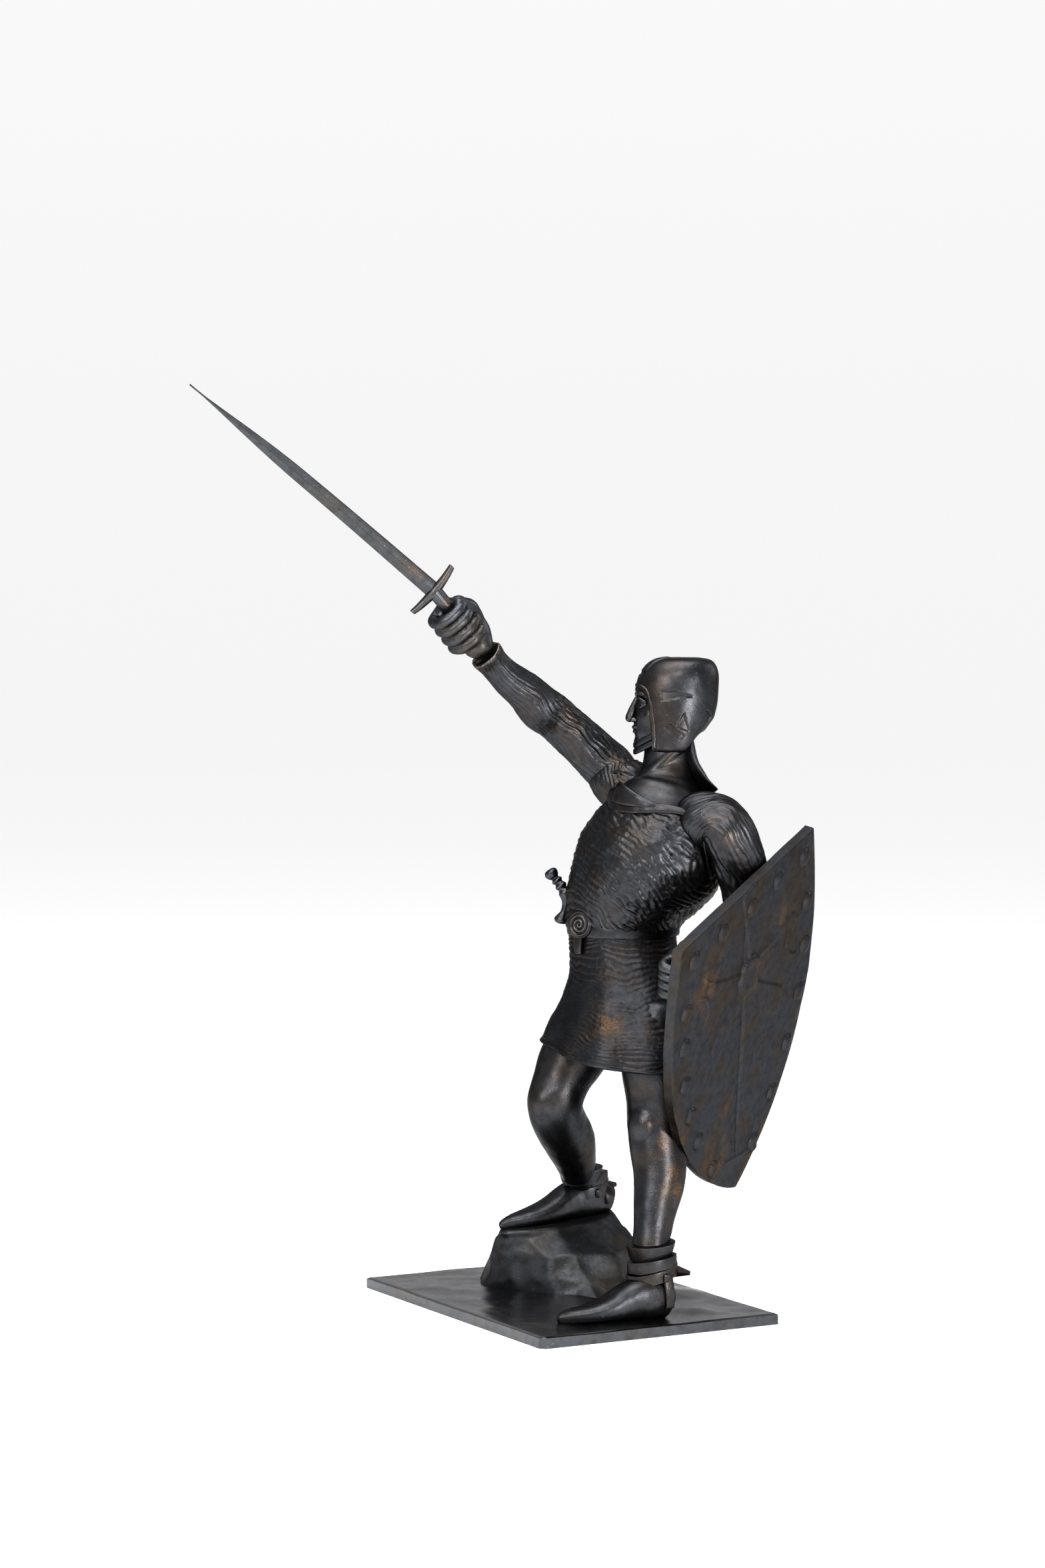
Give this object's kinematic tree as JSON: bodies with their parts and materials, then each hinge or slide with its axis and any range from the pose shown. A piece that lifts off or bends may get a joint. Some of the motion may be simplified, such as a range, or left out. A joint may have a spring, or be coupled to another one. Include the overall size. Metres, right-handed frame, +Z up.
{
  "type": "bronze warrior statue",
  "caption": "Cast bronze figure of a mailed warrior raising a sword, shield on the left arm, one foot on a rock, on a flat rectangular plate.",
  "frame": {"origin": "centre of the plate's flat underside", "axes": "+Z up, -Y the way the figure faces and its sword points, +X the figure's shield side"},
  "size_m": [0.301, 0.4298, 0.6378],
  "materials": {
    "base bronze": "dark brown-black patina, satin",
    "warrior bronze": "dark brown-black patina, satin, rubbed brown on high places",
    "shield bronze": "dark patina with brown rubbed areas, satin",
    "sword bronze": "dark grey patina, satin",
    "dagger bronze": "dark patina, polished by handling"
  },
  "bodies": {
    "root": {"base_plate": "base bronze", "warrior": "warrior bronze", "shield": "shield bronze", "sword": "sword bronze", "dagger": "dagger bronze"}
  },
  "joints": []
}
